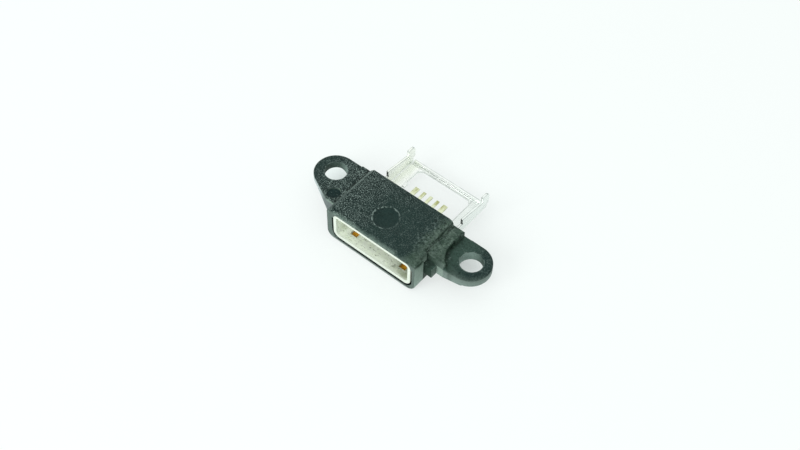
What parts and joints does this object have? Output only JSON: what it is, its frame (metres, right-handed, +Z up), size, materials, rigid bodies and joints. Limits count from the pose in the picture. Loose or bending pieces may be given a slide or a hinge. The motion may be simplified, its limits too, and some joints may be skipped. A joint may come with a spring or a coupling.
{
  "type": "micro data and charging socket",
  "caption": "Sealed micro socket with a steel mouth, a moulded housing with screw ears, solder tails and a bent steel tray at the back.",
  "frame": {"origin": "centre of the mouth, in the plane of its rim", "axes": "+X along the line of the two ears, to the right when looking into the mouth; +Y from the mouth back to the solder tails; +Z up, towards the wide side of the mouth"},
  "size_m": [0.0163, 0.0095, 0.0032],
  "materials": {
    "housing": "grained moulded black",
    "shell": "plated drawn steel",
    "insulator": "moulded black",
    "contact": "gold plated",
    "frame_steel": "bright stamped steel",
    "film": "amber film"
  },
  "bodies": {
    "root": {"housing": "housing", "mouth_shell": "shell", "insulator": "insulator", "contact_power": "contact", "contact_data_minus": "contact", "contact_data_plus": "contact", "contact_id": "contact", "contact_ground": "contact", "rear_frame": "frame_steel", "window_film": "film"}
  },
  "joints": []
}
